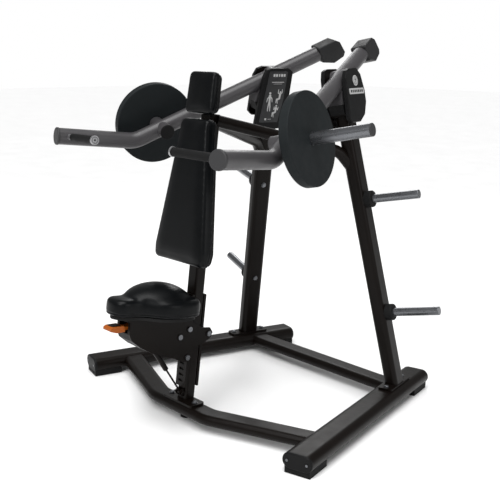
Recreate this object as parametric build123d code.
from build123d import *
from math import cos, radians, sin, tan
import os

# Plate-loaded shoulder press machine.  Millimetres, +Z up, the floor is Z = 0.
# X = 0 is the mirror plane.  The user sits facing -Y, so +X is the user's left.
# Each pair of parts is built on the left side and mirrored to the right.

# ---------------------------------------------------------------- where things stand
ORIGIN_SHIFT = 47.3                       # moves the whole machine so Y = 0 is mid-length
POST_FOOT = Vector(0, -381 + ORIGIN_SHIFT, 75)
POST_LEAN = 6.9                           # degrees the seat post leans back
PIVOT = Vector(208.9, 303.9 + ORIGIN_SHIFT, 1409.6)
ARM_SPLAY = 15.5                          # plan angle between an arm and the mirror plane
ARM_TILT = 11.0                           # the arm pivots climb outward by this much
FOOT_SPLAY = 14.2
FOOT_FRONT = Vector(691.5, -411.2 + ORIGIN_SHIFT, 52)

# ---------------------------------------------------------------- base
FOOT_LENGTH = 1095.0
FOOT_WIDE, FOOT_HIGH = 128.0, 64.0
CAP_THICK, CAP_ROUND = 12.0, 6.0
PAD_LENGTH, PAD_WIDE = 130.0, 108.0
BASE_WIDE, BASE_HIGH = 100.0, 46.0        # section of the bow and the cross tube
BASE_MID_Z = 52.0
BOW_Y = -392.0 + ORIGIN_SHIFT
BOW_HALF = 170.0
BOW_SWEEP = 21.0
BOW_BEND = 150.0
CROSS_Y = 445.0 + ORIGIN_SHIFT
WALL = 3.0
PLATE = 10.0

# ---------------------------------------------------------------- uprights and yokes
UPRIGHT_WIDE, UPRIGHT_DEEP, UPRIGHT_CORNER = 60.0, 90.0, 20.0
UPRIGHT_AT = 850.0                        # from the front end of the foot
UPRIGHT_TOP = -164.0                      # below the pivot, in the plane of the arm
UPRIGHT_LEAN_AHEAD = 11.0                 # its top lies this far ahead of the pivot
YOKE_INNER, YOKE_PLATE = 40.0, 8.0        # half the space between the cheeks, cheek plate
COVER_FACE = 60.0
COVER_RIM = 4.0
SHAFT_R = 15.0
STOP_TOP = -78.0                          # shelf of the upper arm stop
RUN_GAP = 0.05                            # radial clearance of every running fit

# ---------------------------------------------------------------- arms
ARM_SLOPE = 23.8
TUBE_R = 35.0
HORN_REACH = 579.0                        # pivot to loading horn, along the arm
BEND_REACH = 714.0
HANDLE_LENGTH, HANDLE_RISE = 342.0, 5.6
BEND_RADIUS = 110.0
WEIGHT_REACH = 236.0                      # pivot to the start of the tail weight
HUB_R, HUB_HALF = 32.0, 39.0
BEARING_R, BEARING_LONG = 22.0, 18.0
DISC_R, DISC_FROM, DISC_TO = 180.0, 69.5, 109.5
HORN_R, HORN_SHANK_R, HORN_TIP = 24.5, 23.0, 355.0
STUB_FACE = 66.0
GRIP_LENGTH, GRIP_BAR_R, GRIP_R = 262.0, 12.5, 16.5
GRIP_RISE, GRIP_BACK = 12.6, 9.8
GRIP_FROM_END = 38.0

# ---------------------------------------------------------------- weight storage
STORE_HEIGHTS = (405.0, 895.0)
STORE_R, STORE_SHANK_R, STORE_TIP = 18.5, 14.0, 268.0
STORE_STOP_R, STORE_STOP_LONG = 36.0, 32.0

# ---------------------------------------------------------------- post, rails, carriage
POST_WIDE, POST_DEEP = 60.0, 50.0
POST_LENGTH, POST_LID = 1196.0, 4.0
RAIL_THICK = 12.0
RAIL_LOW, RAIL_HIGH = 65.0, 460.0
RACK_PITCH = 25.0
RAIL_FACE = POST_DEEP / 2 + RAIL_THICK
ROLLER_GAP = 0.3
FRONT_ROLLER_R, REAR_ROLLER_R = 12.0, 18.0
CHEEK_IN, CHEEK = 38.0, 6.0               # carriage side plates
ROLLER_LOW, ROLLER_UP, ROLLER_REAR = 200.0, 320.0, 293.0
PIN_HEIGHT = 290.0
LEVER_PIVOT = (318.0, 344.0)              # forward of the post line, along the post
STRUT_FOOT = (34.0, 39.0)
STRUT_SPAN, STRUT_ANGLE = 340.0, 38.7     # eye to eye, and its lean from the post
SEAT_LEVEL = 382.0
SEAT_EDGE, SEAT_CROWN = 82.0, 132.0        # height of the edge and of the dome

# ---------------------------------------------------------------- pads
BACK_LEAN = 9.6
BACK_FOOT = Vector(0, -373 + ORIGIN_SHIFT, 651)
BOARD = 12.0
BACK_THICK, BACK_LENGTH = 46.0, 606.0
HEAD_GAP, HEAD_LENGTH, HEAD_THICK = 14.0, 172.0, 36.0


# ---------------------------------------------------------------- general helpers
def direction(x, y, z):
    return Vector(x, y, z).normalized()


def square_to(across, along):
    """The part of across that is square to along."""
    return (across - along * across.dot(along)).normalized()


def bar(section, start, end, across):
    """A straight length of section, whose local x side faces across."""
    along = (end - start).normalized()
    frame = Plane(origin=start, x_dir=square_to(across, along), z_dir=along)
    return extrude(frame * section, amount=(end - start).length)


def round_bar(radius, start, end):
    along = (end - start).normalized()
    helper = Vector(1, 0, 0) if abs(along.X) < 0.9 else Vector(0, 1, 0)
    return bar(Circle(radius), start, end, helper)


def pull(frame, outline, low, high):
    """A flat outline on a working plane, pulled from height low to high."""
    return extrude(frame * Pos(0, 0, low) * outline, amount=high - low, dir=frame.z_dir)


def rod(frame, x, y, low, high, radius):
    """A round rod square to a working plane, from height low to high."""
    return pull(frame, Pos(x, y) * Circle(radius), low, high)


def box(frame, x, y, z):
    """A box on a working plane; each argument is a (low, high) pair."""
    size = [pair[1] - pair[0] for pair in (x, y, z)]
    middle = [(pair[0] + pair[1]) / 2 for pair in (x, y, z)]
    return frame * Location(tuple(middle)) * Box(*size)


def prism(frame, points, low, high, corner=0.0):
    """A filleted polygon on a working plane, pulled from height low to high."""
    outline = Polygon(*points, align=None)
    if corner:
        outline = fillet(outline.vertices(), corner)
    return pull(frame, outline, low, high)


def other_side(shape):
    return mirror(shape, about=Plane.YZ)


def pair(shape):
    return [shape, other_side(shape)]


def save(name, shapes):
    """Write one sub-part; a group is a flat list of separate solids."""
    solids = []
    for shape in shapes if isinstance(shapes, list) else [shapes]:
        solids.extend(shape.solids())
    whole = solids[0] if len(solids) == 1 else Compound(children=solids)
    whole.label = name
    export_step(whole, f"parts/{name}.step")


# ---------------------------------------------------------------- working planes
def angled(splay):
    """Plan direction that points to the front and outward."""
    return Vector(sin(radians(splay)), -cos(radians(splay)), 0)


FOOT_DIR = angled(FOOT_SPLAY)
FOOT_OUT = Vector(cos(radians(FOOT_SPLAY)), sin(radians(FOOT_SPLAY)), 0)
FOOT_PLANE = Plane(origin=FOOT_FRONT, x_dir=FOOT_OUT, z_dir=FOOT_DIR * -1)

# Arm plane: x to the rear, y up, z outward along the pivot.
ARM_OUT = direction(cos(radians(ARM_TILT)) * cos(radians(ARM_SPLAY)),
                    cos(radians(ARM_TILT)) * sin(radians(ARM_SPLAY)),
                    sin(radians(ARM_TILT)))
ARM_PLANE = Plane(origin=PIVOT, x_dir=angled(ARM_SPLAY) * -1, z_dir=ARM_OUT)

# Side plane: x is forward of the post line, y climbs the post, z is -X.
POST_UP = Vector(0, sin(radians(POST_LEAN)), cos(radians(POST_LEAN)))
POST_FRONT = Vector(0, -cos(radians(POST_LEAN)), sin(radians(POST_LEAN)))
SIDE_PLANE = Plane(origin=POST_FOOT, x_dir=POST_FRONT, z_dir=Vector(-1, 0, 0))

# Back plane: x is X, y climbs the pad, z comes forward.
BACK_UP = Vector(0, sin(radians(BACK_LEAN)), cos(radians(BACK_LEAN)))
BACK_FRONT = Vector(0, -cos(radians(BACK_LEAN)), sin(radians(BACK_LEAN)))
BACK_PLANE = Plane(origin=BACK_FOOT, x_dir=Vector(1, 0, 0), z_dir=BACK_FRONT)


def on_post(x, forward, height):
    return POST_FOOT + Vector(x, 0, 0) + POST_FRONT * forward + POST_UP * height


def on_arm(back, up, out):
    frame = ARM_PLANE
    return frame.origin + frame.x_dir * back + frame.y_dir * up + frame.z_dir * out


# ---------------------------------------------------------------- base
def foot_solid():
    return extrude(FOOT_PLANE * SlotOverall(FOOT_WIDE, FOOT_HIGH), amount=FOOT_LENGTH)


def foot_tube():
    ring = SlotOverall(FOOT_WIDE, FOOT_HIGH) - SlotOverall(FOOT_WIDE - 2 * WALL,
                                                           FOOT_HIGH - 2 * WALL)
    start = FOOT_PLANE * Location((0, 0, CAP_THICK))
    return extrude(start * ring, amount=FOOT_LENGTH - 2 * CAP_THICK)


def foot_caps():
    caps = []
    for low, outer in ((0, 0), (FOOT_LENGTH - CAP_THICK, FOOT_LENGTH)):
        start = FOOT_PLANE * Location((0, 0, low))
        cap = extrude(start * SlotOverall(FOOT_WIDE, FOOT_HIGH), amount=CAP_THICK)
        rim = cap.edges().filter_by(lambda e: abs(FOOT_PLANE.to_local_coords(
            e.center()).Z - outer) < 0.01)
        caps.append(fillet(rim, CAP_ROUND))
    return caps


def foot_pads():
    pads = []
    for near in (4, FOOT_LENGTH - 4 - PAD_LENGTH):
        depth = sorted((0, -FOOT_FRONT.Z * FOOT_PLANE.y_dir.Z))
        blank = box(FOOT_PLANE, (-PAD_WIDE / 2, PAD_WIDE / 2), depth,
                    (near, near + PAD_LENGTH))
        pads.append(blank - foot_solid())
    return pads


def bow_path():
    reach = 520.0
    turn = radians(BOW_SWEEP)
    end = (BOW_HALF + reach * cos(turn), BOW_Y + reach * sin(turn))
    flat = [(-end[0], end[1]), (-BOW_HALF, BOW_Y), (BOW_HALF, BOW_Y), end]
    return FilletPolyline(*[(x, y, BASE_MID_Z) for x, y in flat], radius=BOW_BEND)


def front_bow(feet):
    path = bow_path()
    start = Plane(origin=path @ 0, x_dir=(path % 0).cross(Vector(0, 0, 1)), z_dir=path % 0)
    ring = SlotOverall(BASE_WIDE, BASE_HIGH) - SlotOverall(BASE_WIDE - 2 * WALL,
                                                           BASE_HIGH - 2 * WALL)
    tube = sweep(start * ring, path=path)
    for foot in feet:
        tube = (tube - foot).solids().sort_by(SortBy.VOLUME)[-1]
    return tube


def rear_cross_tube(feet):
    half = 470.0
    ring = SlotOverall(BASE_WIDE, BASE_HIGH) - SlotOverall(BASE_WIDE - 2 * WALL,
                                                           BASE_HIGH - 2 * WALL)
    tube = bar(ring, Vector(-half, CROSS_Y, BASE_MID_Z), Vector(half, CROSS_Y, BASE_MID_Z),
               Vector(0, 1, 0))
    for foot in feet:
        tube = (tube - foot).solids().sort_by(SortBy.VOLUME)[-1]
    return tube


def bow_foot():
    height = BASE_MID_Z - BASE_HIGH / 2
    return Pos(0, BOW_Y + 14, height / 2) * Cylinder(24, height)


# ---------------------------------------------------------------- uprights
def upright_foot():
    top = FOOT_FRONT.Z + FOOT_HIGH / 2
    spot = FOOT_FRONT - FOOT_DIR * UPRIGHT_AT
    return Vector(spot.X, spot.Y, top)


def upright_ends():
    top = on_arm(-UPRIGHT_LEAN_AHEAD, UPRIGHT_TOP, 0)
    return upright_foot() + Vector(0, 0, PLATE), top


def upright_axis(height):
    low, high = upright_ends()
    share = (height - low.Z) / (high.Z - low.Z)
    return low + (high - low) * share


def upright_solid():
    low, high = upright_ends()
    along = (high - low).normalized()
    section = RectangleRounded(UPRIGHT_WIDE, UPRIGHT_DEEP, UPRIGHT_CORNER)
    return bar(section, low - along * 60, high, ARM_OUT)


def upright_tube(base, yoke_part):
    low, high = upright_ends()
    along = (high - low).normalized()
    ring = (RectangleRounded(UPRIGHT_WIDE, UPRIGHT_DEEP, UPRIGHT_CORNER)
            - RectangleRounded(UPRIGHT_WIDE - 2 * WALL, UPRIGHT_DEEP - 2 * WALL,
                               UPRIGHT_CORNER - WALL))
    tube = bar(ring, low - along * 40, high, ARM_OUT)
    floor_cut = Pos(low.X, low.Y, low.Z - 100) * Box(400, 400, 200)
    tube = tube - floor_cut - base - yoke_part
    for height in STORE_HEIGHTS:
        spot = upright_axis(height)
        tube -= round_bar(6 + RUN_GAP, spot - ARM_OUT * 60, spot + ARM_OUT * 60)
    return tube.solids().sort_by(SortBy.VOLUME)[-1]


def upright_base_plate():
    spot = upright_foot()
    frame = Plane(origin=spot, x_dir=FOOT_OUT, z_dir=Vector(0, 0, 1))
    return extrude(frame * RectangleRounded(68, 200, 12), amount=PLATE)


def bolt(spot, axis, head_r=9.0, head=7.0, sink=0.0):
    """A domed bolt head standing on a face, with a washer under it."""
    up = axis.normalized()
    start = spot - up * sink
    washer = round_bar(head_r + 3, start, start + up * 2)
    cap = round_bar(head_r, start + up * 2, start + up * (head + 2))
    cap = fillet(cap.edges().sort_by(lambda e: e.center().dot(up))[-1], head * 0.5)
    return washer + cap


def base_bolts():
    bolts = []
    top = upright_foot() + Vector(0, 0, PLATE)
    for along in (-80, 80):
        bolts += pair(bolt(top + FOOT_DIR * along, Vector(0, 0, 1)))
    for x in (-76, 76):
        spot = Vector(x, BOW_Y, BASE_MID_Z + BASE_HIGH / 2 + PLATE)
        bolts.append(bolt(spot, Vector(0, 0, 1)))
    for end, sense in ((FOOT_FRONT, 1), (FOOT_FRONT - FOOT_DIR * FOOT_LENGTH, -1)):
        for across in (-42, 42):
            spot = end + FOOT_OUT * across
            screw = round_bar(5, spot, spot + FOOT_DIR * (2 * sense))
            bolts += pair(screw)
    return bolts


# ---------------------------------------------------------------- weight storage
def storage_set():
    horns, stops, bolts = [], [], []
    body = upright_solid()
    for height in STORE_HEIGHTS:
        spot = upright_axis(height)
        tip = spot + ARM_OUT * STORE_TIP
        face = spot + ARM_OUT * (UPRIGHT_WIDE / 2 + STORE_STOP_LONG)
        shank = round_bar(STORE_SHANK_R, spot, face)
        horn = round_bar(STORE_R, face, tip) + (shank - body)
        horn = fillet(horn.edges().sort_by(lambda e: e.center().dot(ARM_OUT))[-1], 2)
        stop = round_bar(STORE_STOP_R, spot, face)
        stop = fillet(stop.edges().sort_by(lambda e: e.center().dot(ARM_OUT))[-1], 8)
        stop = stop - body - shank
        shank_end = spot + ARM_OUT * (UPRIGHT_WIDE / 2 - 1.5)
        inner = spot - ARM_OUT * (UPRIGHT_WIDE / 2 + 0.6)
        fastener = bolt(inner, ARM_OUT * -1) + round_bar(6, inner, shank_end)
        horns += pair(horn)
        stops += pair(stop)
        bolts += pair(fastener)
    return horns, stops, bolts


# ---------------------------------------------------------------- seat post
def post_solid():
    section = RectangleRounded(POST_WIDE, POST_DEEP, 10)
    return bar(section, on_post(0, 0, 0), on_post(0, 0, POST_LENGTH + POST_LID),
               Vector(1, 0, 0))


def post_plate():
    top = BASE_MID_Z + BASE_HIGH / 2
    frame = Plane(origin=Vector(0, BOW_Y, top), x_dir=Vector(1, 0, 0), z_dir=Vector(0, 0, 1))
    return extrude(frame * RectangleRounded(194, 74, 12), amount=PLATE)


def seat_post():
    ring = (RectangleRounded(POST_WIDE, POST_DEEP, 10)
            - RectangleRounded(POST_WIDE - 2 * WALL, POST_DEEP - 2 * WALL, 10 - WALL))
    tube = bar(ring, on_post(0, 0, -20), on_post(0, 0, POST_LENGTH), Vector(1, 0, 0))
    top = BASE_MID_Z + BASE_HIGH / 2 + PLATE
    tube -= Pos(0, POST_FOOT.Y, top - 100) * Box(300, 300, 200)
    lid = bar(RectangleRounded(POST_WIDE, POST_DEEP, 10), on_post(0, 0, POST_LENGTH),
              on_post(0, 0, POST_LENGTH + POST_LID), Vector(1, 0, 0))
    return tube + lid


def rails():
    half = POST_DEEP / 2
    front = box(SIDE_PLANE, (half, RAIL_FACE), (RAIL_LOW, RAIL_HIGH), (-30, 30))
    steps = int((RAIL_HIGH - RAIL_LOW) / RACK_PITCH) - 1
    for step in range(steps):
        middle = RAIL_LOW + RACK_PITCH * (step + 1)
        front -= box(SIDE_PLANE, (RAIL_FACE - 6, RAIL_FACE + 1), (middle - 5, middle + 5),
                     (-14, 14))
    rear = box(SIDE_PLANE, (-RAIL_FACE, -half), (RAIL_LOW, RAIL_HIGH), (-30, 30))
    rear = chamfer(rear.edges().filter_by(Axis.X), 3)
    return [front, rear]


def strut_bracket():
    forward, height = STRUT_FOOT
    lugs = []
    for low in (-16, 10):
        lug = prism(SIDE_PLANE, [(POST_DEEP / 2, height - 18), (forward + 6, height - 12),
                                 (forward + 14, height), (forward + 6, height + 12),
                                 (POST_DEEP / 2, height + 18)], low, low + 6)
        lugs.append(lug)
    pin = rod(SIDE_PLANE, forward, height, -20, 20, 5)
    pin += rod(SIDE_PLANE, forward, height, -23, -16, 8)
    pin += rod(SIDE_PLANE, forward, height, 16, 23, 8)
    return lugs[0] + lugs[1] + pin


# ---------------------------------------------------------------- braces
def brace(post, upright):
    start = on_post(24, -10, POST_LENGTH - 22)
    target = upright_axis(1010)
    knee = start + (target - start) * 0.87
    knee = Vector(knee.X, knee.Y, start.Z - 135)
    path = FilletPolyline(start, knee, target, radius=90)
    ring = Circle(25) - Circle(25 - WALL)
    frame = Plane(origin=path @ 0, z_dir=path % 0)
    tube = sweep(frame * ring, path=path)
    middle_cut = Pos(-200, 0, 1200) * Box(400, 2000, 800)
    tube = tube - post - upright - middle_cut
    return tube.solids().sort_by(SortBy.VOLUME)[-1]


# ---------------------------------------------------------------- yokes and covers
OUTER_COVER = [(-78, -9), (-62, 21), (-35, 31), (35, 31), (66, 5), (88, -64), (88, -114),
               (60, -167), (10, -195), (-70, -195), (-88, -177)]
INNER_COVER = [(-78, 1), (-64, 35), (-40, 43), (46, 43), (70, 27), (64, -84), (36, -224),
               (28, -237), (-86, -237), (-100, -214)]
COVER_CORNER = 9.0


def cover_outline(inner):
    points = INNER_COVER if inner else OUTER_COVER
    return fillet(Polygon(*points, align=None).vertices(), COVER_CORNER)


def yoke():
    base = box(ARM_PLANE, (-66, 58), (UPRIGHT_TOP, UPRIGHT_TOP + 8), (-44, 44))
    for inner in (False, True):
        low = -YOKE_INNER - YOKE_PLATE if inner else YOKE_INNER
        face = offset(cover_outline(inner), amount=-COVER_RIM - 0.4)
        cheek = pull(ARM_PLANE, face, low, low + YOKE_PLATE)
        cheek -= rod(ARM_PLANE, 0, 0, low - 1, low + YOKE_PLATE + 1, SHAFT_R + RUN_GAP)
        base += cheek
    reach = (-YOKE_INNER, YOKE_INNER)
    base += box(ARM_PLANE, (36, 44), (UPRIGHT_TOP + 8, STOP_TOP - 6), reach)
    base += box(ARM_PLANE, (24, 56), (STOP_TOP - 6, STOP_TOP), reach)
    return base


def pivot_shaft():
    half = YOKE_INNER + YOKE_PLATE
    shaft = rod(ARM_PLANE, 0, 0, -half, half, SHAFT_R)
    for low in (-half - 6, half):
        shaft += rod(ARM_PLANE, 0, 0, low, low + 6, 19)
    return shaft


def cover(inner):
    """A moulded shell that closes the outside and the edges of one cheek."""
    sense = -1 if inner else 1
    ends = sorted((sense * YOKE_INNER, sense * COVER_FACE))
    shell = pull(ARM_PLANE, cover_outline(inner), *ends)
    rim = shell.edges().filter_by(lambda e: abs(
        ARM_PLANE.to_local_coords(e.center()).Z - sense * COVER_FACE) < 0.01)
    shell = fillet(rim, 4)
    plate = offset(cover_outline(inner), amount=-COVER_RIM)
    ends = sorted((sense * (YOKE_INNER - 1), sense * (YOKE_INNER + YOKE_PLATE + 0.2)))
    shell -= pull(ARM_PLANE, plate, *ends)
    ends = sorted((sense * (YOKE_INNER + 1), sense * (YOKE_INNER + YOKE_PLATE + 7)))
    shell -= rod(ARM_PLANE, 0, 0, *ends, 21)
    return (shell - yoke()).solids().sort_by(SortBy.VOLUME)[-1]


def bumpers():
    """Rubber blocks: one holds the arm at rest, one stops it at the top."""
    low = prism(ARM_PLANE, [(-96, -115.5), (-80, UPRIGHT_TOP + 8), (-52, UPRIGHT_TOP + 8),
                            (-55, -115.5)], -33, 33)
    high = box(ARM_PLANE, (26, 54), (STOP_TOP, STOP_TOP + 20), (-26, 26))
    return [low, fillet(high.edges().filter_by(Axis(PIVOT, ARM_OUT)), 2)]


def placard():
    outline = Polygon((-50, 30), (42, 30), (34, -92), (14, -205), (-82, -205), align=None)
    sheet = fillet(outline.vertices(), 6)
    return other_side(pull(ARM_PLANE, sheet, -COVER_FACE - 1.5, -COVER_FACE))


def badges():
    plate = rod(ARM_PLANE, 3, -22, COVER_FACE, COVER_FACE + 2, 22)
    sheet = Pos(4, -66) * RectangleRounded(138, 24, 5)
    band = pull(ARM_PLANE, sheet, COVER_FACE, COVER_FACE + 1.5)
    return pair(plate) + pair(band)


# ---------------------------------------------------------------- arms
def arm_points():
    slope = radians(ARM_SLOPE)
    rise = radians(HANDLE_RISE)
    tail = ((WEIGHT_REACH + 55) * cos(slope), (WEIGHT_REACH + 55) * sin(slope))
    knee = (-BEND_REACH * cos(slope), -BEND_REACH * sin(slope))
    end = (knee[0] - HANDLE_LENGTH * cos(rise), knee[1] + HANDLE_LENGTH * sin(rise))
    return tail, knee, end


def horn_spot():
    slope = radians(ARM_SLOPE)
    return -HORN_REACH * cos(slope), -HORN_REACH * sin(slope)


def arm_sweep(radius):
    tail, knee, end = arm_points()
    flat = [on_arm(x, y, 0) for x, y in (tail, knee, end)]
    path = FilletPolyline(*flat, radius=BEND_RADIUS)
    frame = Plane(origin=path @ 0, x_dir=ARM_OUT, z_dir=path % 0)
    return sweep(frame * Circle(radius), path=path)


def arm_tube():
    x, y = horn_spot()
    outer = arm_sweep(TUBE_R)
    hub = rod(ARM_PLANE, 0, 0, -HUB_HALF, HUB_HALF, HUB_R)
    collar = rod(ARM_PLANE, x, y, -STUB_FACE, DISC_FROM, HUB_R)
    lug = prism(ARM_PLANE, [(-70, -12), (-78, -56), (-96, -115), (-55, -115), (-24, -20)], -33, 33)
    body = outer - arm_sweep(TUBE_R - WALL - 1) + hub + collar + lug
    body -= rod(ARM_PLANE, 0, 0, -HUB_HALF - 1, HUB_HALF + 1, BEARING_R)
    body -= rod(ARM_PLANE, x, y, -STUB_FACE - 1, DISC_FROM + 1, HORN_SHANK_R + RUN_GAP)
    return body


def bearings():
    rings = []
    for low in (-HUB_HALF, HUB_HALF - BEARING_LONG):
        ring = rod(ARM_PLANE, 0, 0, low, low + BEARING_LONG, BEARING_R - RUN_GAP)
        rings.append(ring - rod(ARM_PLANE, 0, 0, low - 1, low + BEARING_LONG + 1,
                                SHAFT_R + RUN_GAP))
    return rings


def tail_weight():
    """A bulged block clamped round the tail of the arm."""
    frame = Plane(ARM_PLANE * Rot(0, 0, ARM_SLOPE) * Pos(WEIGHT_REACH, 0, 0))
    side = [(0, 37), (96, 37), (118, 20), (133, -36), (121, -54), (66, -64), (8, -37)]
    block = prism(frame, side, -38, 38, 8)
    rims = block.edges().filter_by(
        lambda e: abs(abs(frame.to_local_coords(e.center()).Z) - 38) < 0.01)
    return fillet(rims, 7)


def handle_cap():
    _, knee, end = arm_points()
    along = (on_arm(*end, 0) - on_arm(*knee, 0)).normalized()
    spot = on_arm(*end, 0)
    cap = round_bar(TUBE_R + 2, spot, spot + along * 10)
    rim = cap.edges().sort_by(lambda e: e.center().dot(along))[-1]
    return fillet(rim, 5)


def grip_line():
    _, knee, end = arm_points()
    along = (on_arm(*end, 0) - on_arm(*knee, 0)).normalized()
    start = on_arm(*end, 0) - along * GRIP_FROM_END
    frame = ARM_PLANE
    heading = (frame.z_dir * -1 + frame.y_dir * tan(radians(GRIP_RISE))
               + frame.x_dir * tan(radians(GRIP_BACK))).normalized()
    return start, heading


def grip_parts():
    start, heading = grip_line()
    bar_end = start + heading * GRIP_LENGTH
    steel = round_bar(GRIP_BAR_R, start, bar_end)
    steel += round_bar(GRIP_R + 2, bar_end - heading * 8, bar_end)
    steel -= arm_sweep(TUBE_R)
    sleeve = round_bar(GRIP_R, start + heading * 62, bar_end - heading * 8.2)
    sleeve -= round_bar(GRIP_BAR_R, start, bar_end)
    return steel, sleeve


def stop_disc():
    x, y = horn_spot()
    disc = rod(ARM_PLANE, x, y, DISC_FROM, DISC_TO, DISC_R)
    disc = fillet(disc.edges(), 4)
    return disc - rod(ARM_PLANE, x, y, DISC_FROM - 1, DISC_TO + 1, HORN_SHANK_R + RUN_GAP)


def loading_horn():
    x, y = horn_spot()
    horn = rod(ARM_PLANE, x, y, -STUB_FACE, DISC_TO, HORN_SHANK_R)
    horn += rod(ARM_PLANE, x, y, DISC_TO, HORN_TIP - 6, HORN_R)
    return horn - rod(ARM_PLANE, x, y, -STUB_FACE - 1, HORN_TIP, HORN_SHANK_R - 4)


def horn_caps():
    x, y = horn_spot()
    inner = rod(ARM_PLANE, x, y, -STUB_FACE - 6, -STUB_FACE, HUB_R)
    rim = inner.edges().sort_by(lambda e: e.center().dot(ARM_OUT))[0]
    inner = fillet(rim, 3)
    outer = rod(ARM_PLANE, x, y, HORN_TIP - 6, HORN_TIP, HORN_R)
    rim = outer.edges().sort_by(lambda e: e.center().dot(ARM_OUT))[-1]
    return inner, fillet(rim, 2.5)


# ---------------------------------------------------------------- seat carriage
CHEEK_OUTLINE = [(48, 382), (348, 382), (348, 322), (335, 296), (292, 266), (232, 236),
                 (112, 200), (70, 182), (40, 180), (24, 200), (24, 236), (-30, 252),
                 (-66, 272), (-78, 296), (-62, 318), (-24, 320), (30, 344)]


def carriage_frame():
    frame = None
    for low in (CHEEK_IN, -CHEEK_IN - CHEEK):
        cheek = prism(SIDE_PLANE, CHEEK_OUTLINE, low, low + CHEEK, 5)
        frame = cheek if frame is None else frame + cheek
    side = (-CHEEK_IN, CHEEK_IN)
    top = box(SIDE_PLANE, (60, 340), (SEAT_LEVEL - 6, SEAT_LEVEL), side)
    top -= box(SIDE_PLANE, (200, 285), (SEAT_LEVEL - 7, SEAT_LEVEL + 1), (-22, 22))
    housing = box(SIDE_PLANE, (72, 118), (PIN_HEIGHT - 17, PIN_HEIGHT + 17), side)
    frame = frame + top + housing
    middle = Plane(SIDE_PLANE * Pos(0, PIN_HEIGHT, 0) * Rot(0, 90, 0))
    frame -= rod(middle, 0, 0, 60, 130, 7 + RUN_GAP)
    for forward, height, _ in axle_spots():
        frame -= rod(SIDE_PLANE, forward, height, -60, 60, 5 + RUN_GAP)
    return frame


def axle_spots():
    ahead = RAIL_FACE + ROLLER_GAP + FRONT_ROLLER_R
    behind = -(RAIL_FACE + ROLLER_GAP + REAR_ROLLER_R)
    return ((ahead, ROLLER_LOW, FRONT_ROLLER_R), (ahead, ROLLER_UP, FRONT_ROLLER_R),
            (behind, ROLLER_REAR, REAR_ROLLER_R))


def carriage_cover():
    """The moulded nose between the side plates, open for the lever."""
    outer = [(348, 376), (348, 322), (335, 296), (292, 266), (240, 240)]
    inner = [(243, 244), (289, 271), (330, 300), (342, 324), (342, 376)]
    shell = prism(SIDE_PLANE, outer + inner, -CHEEK_IN, CHEEK_IN)
    return shell - box(SIDE_PLANE, (330, 360), (324, 368), (-30, 30))


def axles():
    bolts = []
    reach = CHEEK_IN + CHEEK
    for forward, height, _ in axle_spots():
        shaft = rod(SIDE_PLANE, forward, height, -reach, reach, 5)
        shaft += rod(SIDE_PLANE, forward, height, reach, reach + 7, 11)
        shaft += rod(SIDE_PLANE, forward, height, -reach - 7, -reach, 11)
        bolts.append(shaft)
    for low in (-reach - 6, reach):
        bolts.append(rod(SIDE_PLANE, 96, PIN_HEIGHT, low, low + 6, 11))
    return bolts


def roller(index):
    forward, height, radius = axle_spots()[index]
    wheel = rod(SIDE_PLANE, forward, height, -26, 26, radius)
    return wheel - rod(SIDE_PLANE, forward, height, -27, 27, 5 + RUN_GAP)


def lock_pin():
    frame = Plane(SIDE_PLANE * Pos(0, PIN_HEIGHT, 0) * Rot(0, 90, 0))
    pin = rod(frame, 0, 0, RAIL_FACE + 1, 128, 7)
    return pin + rod(frame, 0, 0, 128, 134, 11)


def lever():
    forward, height = LEVER_PIVOT
    neck = box(SIDE_PLANE, (forward, 372), (height - 6, height + 6), (-22, 22))
    boss = rod(SIDE_PLANE, forward, height, -22, 22, 11)
    side = [(358, height - 12), (364, height + 12), (414, height + 10), (424, height + 3),
            (424, height - 7), (396, height - 14)]
    paddle = prism(SIDE_PLANE, side, -27, 27, 3)
    body = neck + boss + paddle
    return body - rod(SIDE_PLANE, forward, height, -40, 40, 5 + RUN_GAP)


def lever_pin():
    forward, height = LEVER_PIVOT
    return rod(SIDE_PLANE, forward, height, -CHEEK_IN, CHEEK_IN, 5)


def strut_line():
    lean = radians(STRUT_ANGLE)
    foot = on_post(0, *STRUT_FOOT)
    heading = (POST_FRONT * sin(lean) + POST_UP * cos(lean)).normalized()
    return foot, heading


def eye(spot, radius, bore, half=6.0):
    frame = Plane(origin=spot, x_dir=POST_FRONT, z_dir=Vector(-1, 0, 0))
    return rod(frame, 0, 0, -half, half, radius) - rod(frame, 0, 0, -half - 1, half + 1, bore)


def strut_rod():
    foot, heading = strut_line()
    piston = round_bar(4, foot + heading * 8, foot + heading * 250)
    return eye(foot, 9, 5 + RUN_GAP) + piston - rod(Plane(
        origin=foot, x_dir=POST_FRONT, z_dir=Vector(-1, 0, 0)), 0, 0, -9, 9, 5 + RUN_GAP)


def strut_cylinder():
    foot, heading = strut_line()
    low, high = foot + heading * 137, foot + heading * (STRUT_SPAN - 14)
    top = foot + heading * STRUT_SPAN
    body = round_bar(11, low, high) - round_bar(8, low + heading * 12, high - heading * 6)
    body -= round_bar(4 + RUN_GAP, low - heading, low + heading * 13)
    return body + round_bar(5, high - heading, top - heading * 8) + eye(top, 9, 5 + RUN_GAP)


def seat_outline(inset=0.0):
    """Plan of the seat: a narrow nose that flares to a broad back."""
    nose, wide = 66.0 - inset, 150.0 - inset
    front, back = 420.0 - inset, 42.0 + inset
    flank = [(back, 0), (back + 4, wide - 70), (back + 34, wide - 18), (back + 84, wide),
             (206, wide - 2), (258, wide - 24), (312, nose + 10), (350, nose)]
    tip = [(front - 26, nose - 6), (front - 5, nose - 34), (front, 0)]
    right = flank + tip
    left = [(x, -y) for x, y in reversed(right[1:-1])]
    return make_face(Spline(*right, *left, periodic=True))


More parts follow.
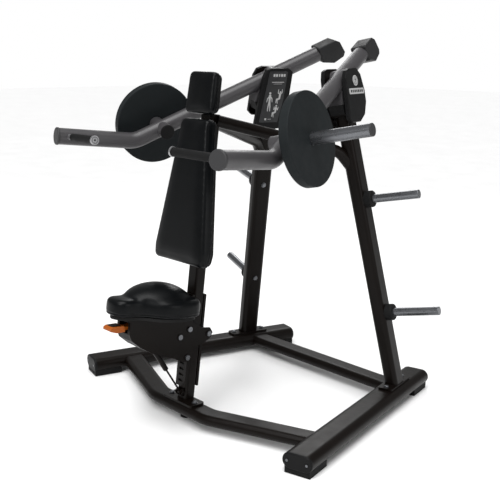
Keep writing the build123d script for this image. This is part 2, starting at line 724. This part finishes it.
def seat_parts():
    """A thick cushion with rounded edges and a domed middle, on its board."""
    frame = Plane(origin=on_post(0, 0, SEAT_LEVEL), x_dir=POST_FRONT, z_dir=POST_UP)
    board = pull(frame, seat_outline(14), 0, BOARD)
    pad = pull(frame, seat_outline(), BOARD, SEAT_EDGE)
    rim = pad.edges().filter_by(
        lambda e: abs(frame.to_local_coords(e.center()).Z - SEAT_EDGE) < 0.01)
    pad = fillet(rim, 20)
    dome = frame * Pos(200, 0, SEAT_CROWN - 88) * scale(Sphere(1), by=(158, 134, 88))
    return board, pad + (dome & pull(frame, seat_outline(10), BOARD + 2, SEAT_CROWN + 5))


# ---------------------------------------------------------------- back and head pads
def back_outline(inset=0.0):
    low, high = 167.0 - inset, 89.0 - inset
    points = [(10 - low, 14 + inset), (low - 10, 14 + inset), (low, 75),
              (high, BACK_LENGTH - inset), (-high, BACK_LENGTH - inset), (-low, 75)]
    corners = Polygon(*points, align=None)
    return fillet(corners.vertices(), 30)


def head_outline(inset=0.0):
    wide = 88.0 - inset
    low = BACK_LENGTH + HEAD_GAP + inset
    high = BACK_LENGTH + HEAD_GAP + HEAD_LENGTH - inset
    corners = Polygon((-wide, low), (wide, low), (wide - 6, high), (6 - wide, high), align=None)
    return fillet(corners.vertices(), 24)


def pad_pair(outline, thick):
    board = pull(BACK_PLANE, outline(9), 0, BOARD)
    pad = pull(BACK_PLANE, outline(0), BOARD, BOARD + thick)
    front = pad.edges().filter_by(
        lambda e: abs(BACK_PLANE.to_local_coords(e.center()).Z - BOARD - thick) < 0.01)
    return board, fillet(front, 14)


BRACKET_HEIGHTS = (125.0, 525.0)


def pad_brackets(post):
    """Flat steel between the post and the boards, and a spine for the head rest."""
    low, high = BRACKET_HEIGHTS
    lower = box(BACK_PLANE, (-65, 65), (low - 25, low + 25), (-6, 0))
    lower += box(BACK_PLANE, (-30, 30), (low - 25, low + 25), (-60, -6)) - post
    upper = box(BACK_PLANE, (-65, 65), (high - 25, high + 25), (-6, 0))
    upper += box(BACK_PLANE, (-30, 30), (high - 25, high + 25), (-40, -6)) - post
    upper += box(BACK_PLANE, (-25, 25), (high, 740), (-6, 0))
    kept = []
    for piece in (lower, upper):
        solids = (piece - post).solids()
        kept.append(solids.sort_by(lambda solid: solid.center().dot(BACK_FRONT))[-1])
    return kept


def pad_bolts():
    bolts = []
    for height in BRACKET_HEIGHTS:
        for x in (-48, 48):
            spot = BACK_PLANE.origin + Vector(x, 0, 0) + BACK_UP * height - BACK_FRONT * 6
            bolts.append(bolt(spot, BACK_FRONT * -1, 7, 5))
    for height in (690, 722):
        spot = BACK_PLANE.origin + BACK_UP * height - BACK_FRONT * 6
        bolts.append(bolt(spot, BACK_FRONT * -1, 7, 5))
    return bolts


# ---------------------------------------------------------------- assembly
def build():
    os.makedirs("parts", exist_ok=True)
    foot = foot_solid()
    feet = pair(foot)
    save("foot_left", foot_tube())
    save("foot_right", other_side(foot_tube()))
    caps = foot_caps()
    save("foot_end_caps", caps + [other_side(cap) for cap in caps])
    pads = foot_pads()
    save("foot_pads", pads + [other_side(pad) for pad in pads] + [bow_foot()])
    save("front_bow", front_bow(feet))
    save("rear_cross_tube", rear_cross_tube(feet))

    plate = upright_base_plate()
    upright = upright_tube(plate, yoke())
    save("upright_left", upright)
    save("upright_right", other_side(upright))
    save("base_plates", pair(plate) + [post_plate()])
    horns, stops, bolts = storage_set()
    save("storage_horns", horns)
    save("storage_stops", stops)
    save("frame_bolts", base_bolts() + bolts + pad_bolts())

    post = post_solid()
    save("seat_post", seat_post())
    save("seat_rails", rails())
    save("strut_bracket", strut_bracket())
    tube = brace(post, upright_solid())
    save("brace_left", tube)
    save("brace_right", other_side(tube))

    save("yoke_left", yoke())
    save("yoke_right", other_side(yoke()))
    save("pivot_shafts", pair(pivot_shaft()))
    save("outer_covers", pair(cover(False)))
    save("inner_covers", pair(cover(True)))
    rubber = bumpers()
    save("arm_bumpers", rubber + [other_side(block) for block in rubber])
    save("placard", placard())
    save("cover_badges", badges())

    board, pad = pad_pair(back_outline, BACK_THICK)
    head_board, head_pad = pad_pair(head_outline, HEAD_THICK)
    save("pad_boards", [board, head_board])
    save("back_pad", pad)
    save("head_pad", head_pad)
    save("pad_brackets", pad_brackets(post))

    arm = arm_tube()
    steel, sleeve = grip_parts()
    weight = tail_weight() - arm_sweep(TUBE_R)
    inner_cap, outer_cap = horn_caps()
    arm_set = {
        "arm_{}": [arm],
        "pivot_bearings_{}": bearings(),
        "tail_weight_{}": [weight],
        "arm_caps_{}": [handle_cap(), outer_cap],
        "stub_cap_{}": [inner_cap],
        "grip_bar_{}": [steel],
        "grip_sleeve_{}": [sleeve],
        "stop_disc_{}": [stop_disc()],
        "loading_horn_{}": [loading_horn()],
    }
    for name, shapes in arm_set.items():
        save(name.format("left"), shapes)
        save(name.format("right"), [other_side(shape) for shape in shapes])

    save("carriage_frame", carriage_frame())
    save("carriage_cover", carriage_cover())
    save("carriage_axles", axles() + [lever_pin()])
    for index, name in enumerate(("roller_low", "roller_high", "roller_rear")):
        save(name, roller(index))
    save("lock_pin", lock_pin())
    save("release_lever", lever())
    save("strut_rod", strut_rod())
    save("strut_cylinder", strut_cylinder())
    board, pad = seat_parts()
    save("seat_board", board)
    save("seat_pad", pad)


build()
